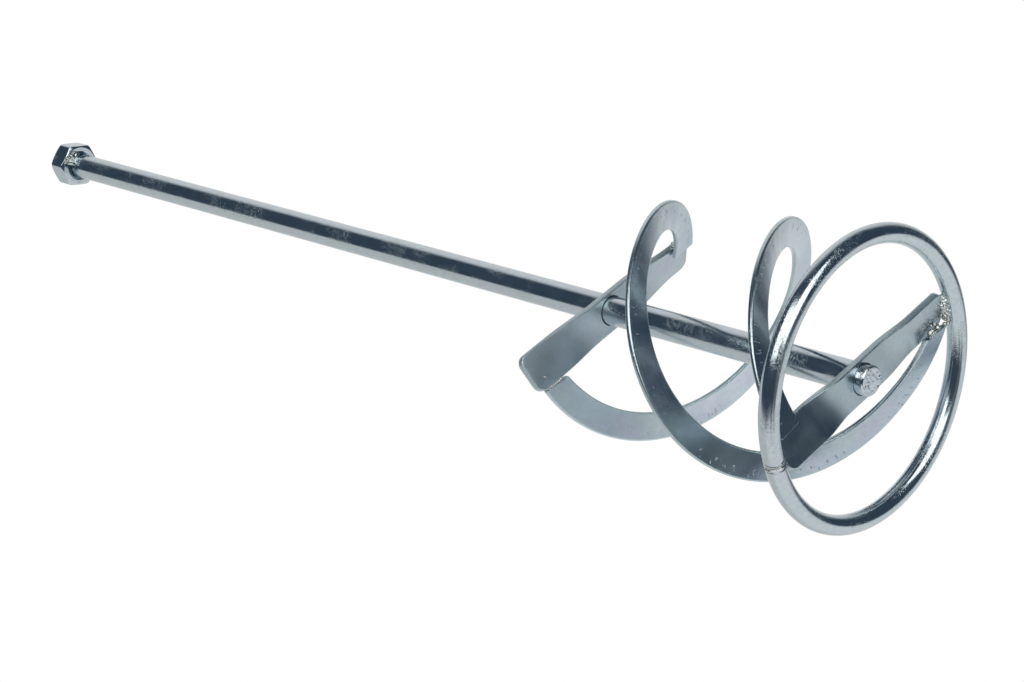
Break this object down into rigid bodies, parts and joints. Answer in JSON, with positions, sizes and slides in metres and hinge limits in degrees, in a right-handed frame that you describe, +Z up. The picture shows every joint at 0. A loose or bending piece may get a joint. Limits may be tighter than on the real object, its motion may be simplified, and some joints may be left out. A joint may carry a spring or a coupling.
{
  "type": "mortar mixing paddle",
  "caption": "Mortar mixing paddle: a long round shaft with a threaded drive nut, flat crossbars, spiral ribbon blades and a round guard ring, welded and zinc plated",
  "frame": {"origin": "centre of the guard ring, on the plane of its underside; the paddle stands upright on the ring", "axes": "+Z runs up the shaft to the drive nut, +X nearly along both crossbars, towards the ends of blade A, +Y completes the right-handed frame"},
  "size_m": [0.12, 0.12, 0.523],
  "materials": {
    "zinc_steel": "bright zinc plating with a bluish passivation and a fine sparkle",
    "weld_metal": "plated weld bead, rougher and yellower than the stock"
  },
  "bodies": {
    "root": {"shaft": "zinc_steel", "drive_nut": "zinc_steel", "front_crossbar": "zinc_steel", "rear_crossbar": "zinc_steel", "spiral_blade_a": "zinc_steel", "spiral_blade_b": "zinc_steel", "guard_ring": "zinc_steel", "nut_weld": "weld_metal", "front_bar_shaft_weld": "weld_metal", "rear_bar_shaft_weld": "weld_metal", "blade_a_front_weld": "weld_metal", "blade_a_rear_weld": "weld_metal", "blade_b_front_weld": "weld_metal", "blade_b_rear_weld": "weld_metal", "ring_seam_weld": "weld_metal", "ring_bar_weld_a": "weld_metal", "ring_bar_weld_b": "weld_metal"}
  },
  "joints": []
}
